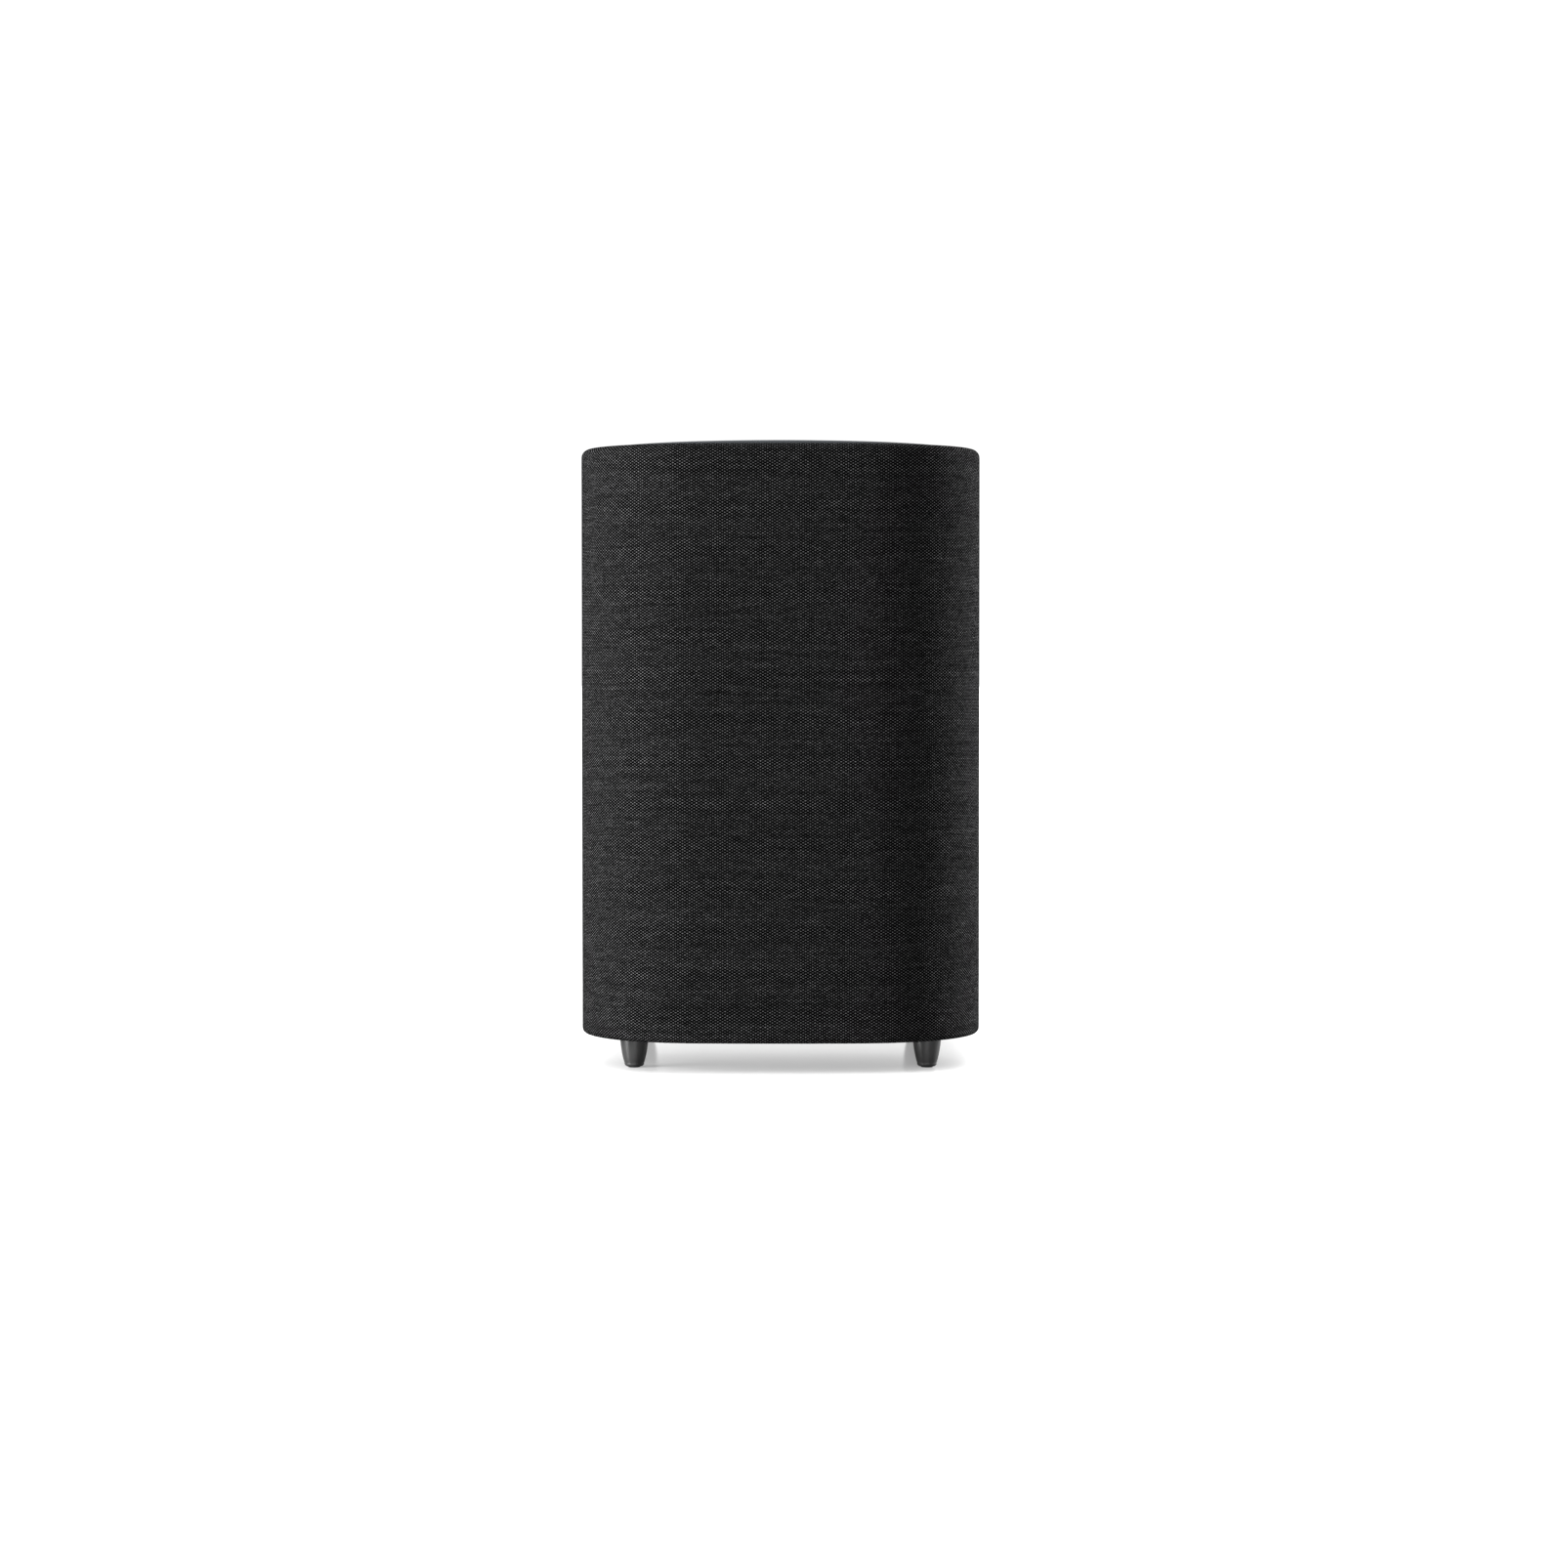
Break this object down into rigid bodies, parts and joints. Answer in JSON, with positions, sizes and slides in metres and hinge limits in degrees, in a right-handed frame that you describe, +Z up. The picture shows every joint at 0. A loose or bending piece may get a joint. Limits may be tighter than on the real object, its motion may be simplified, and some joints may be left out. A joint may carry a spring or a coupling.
{
  "type": "subwoofer",
  "caption": "Compact wireless subwoofer: fabric-wrapped cabinet with a rounded, bowed plan on short tapered feet, down-firing woofer, rear port and rear panel.",
  "frame": {"origin": "on the floor, under the middle of the whole object's box", "axes": "+Z up; the plain front faces -Y and the rear panel faces +Y; +X is to the right seen from the front"},
  "size_m": [0.243, 0.2742, 0.3733],
  "materials": {
    "fabric": "plain-woven polyester, light floats over a near-black ground",
    "cover_plastic": "fine satin",
    "case_plastic": "spark-textured",
    "foot_plastic": "fine satin",
    "rubber": "moulded",
    "board": "raw fibreboard",
    "foam": "open-cell foam strip",
    "wadding": "polyester wadding",
    "paper": "pressed pulp",
    "spider_cloth": "resin-stiffened cotton",
    "steel": "black powder coat",
    "zinc": "zinc plated",
    "ferrite": "ground ferrite",
    "aluminium": "extruded",
    "copper": "enamelled copper wire",
    "circuit": "solder mask",
    "sleeve_blue": "shrink sleeve",
    "light_pipe": "polished"
  },
  "bodies": {
    "enclosure": {"fabric_sleeve": "fabric", "cabinet_shell": "board", "top_board": "board", "window_brace": "board", "damping_pad_left": "wadding", "damping_pad_right": "wadding", "top_cover": "cover_plastic", "base_plate": "case_plastic", "base_gasket": "foam", "woofer_basket": "steel", "woofer_seal": "foam", "woofer_trim_ring": "rubber", "surround": "rubber", "spider": "spider_cloth", "pole_plate": "zinc", "magnet": "ferrite", "magnet_yoke": "zinc", "woofer_terminal": "circuit", "rear_plate": "case_plastic", "rear_gasket": "foam", "port_tube": "case_plastic", "power_inlet": "case_plastic", "status_light": "light_pipe", "main_board": "circuit", "wireless_board": "circuit", "heat_sink": "aluminium", "power_transformer": "ferrite", "capacitor_left": "sleeve_blue", "capacitor_right": "sleeve_blue", "speaker_cable": "rubber", "foot_front_left": "foot_plastic", "foot_pad_front_left": "rubber", "foot_screw_front_left": "zinc", "foot_front_right": "foot_plastic", "foot_pad_front_right": "rubber", "foot_screw_front_right": "zinc", "foot_rear_left": "foot_plastic", "foot_pad_rear_left": "rubber", "foot_screw_rear_left": "zinc", "foot_rear_right": "foot_plastic", "foot_pad_rear_right": "rubber", "foot_screw_rear_right": "zinc", "base_screw_1": "zinc", "rear_screw_1": "zinc", "base_screw_2": "zinc", "rear_screw_2": "zinc", "base_screw_3": "zinc", "rear_screw_3": "zinc", "base_screw_4": "zinc", "rear_screw_4": "zinc", "woofer_screw_1": "zinc", "woofer_screw_2": "zinc", "woofer_screw_3": "zinc", "woofer_screw_4": "zinc", "woofer_screw_5": "zinc", "woofer_screw_6": "zinc"},
    "cone_assembly": {"cone": "paper", "dust_cap": "paper", "voice_coil": "copper"},
    "pairing_button": {"pairing_button": "foot_plastic"}
  },
  "joints": [
    {"name": "cone_travel", "type": "slide", "parent": "enclosure", "child": "cone_assembly", "axis": [0, 0, 1], "range_m": [-0.008, 0.008], "stiffness_N_per_m": 2500, "deforming": ["surround", "spider"]},
    {"name": "pairing_button_press", "type": "slide", "parent": "enclosure", "child": "pairing_button", "axis": [0, -1, 0], "range_m": [0, 0.0012], "stiffness_N_per_m": 500}
  ]
}
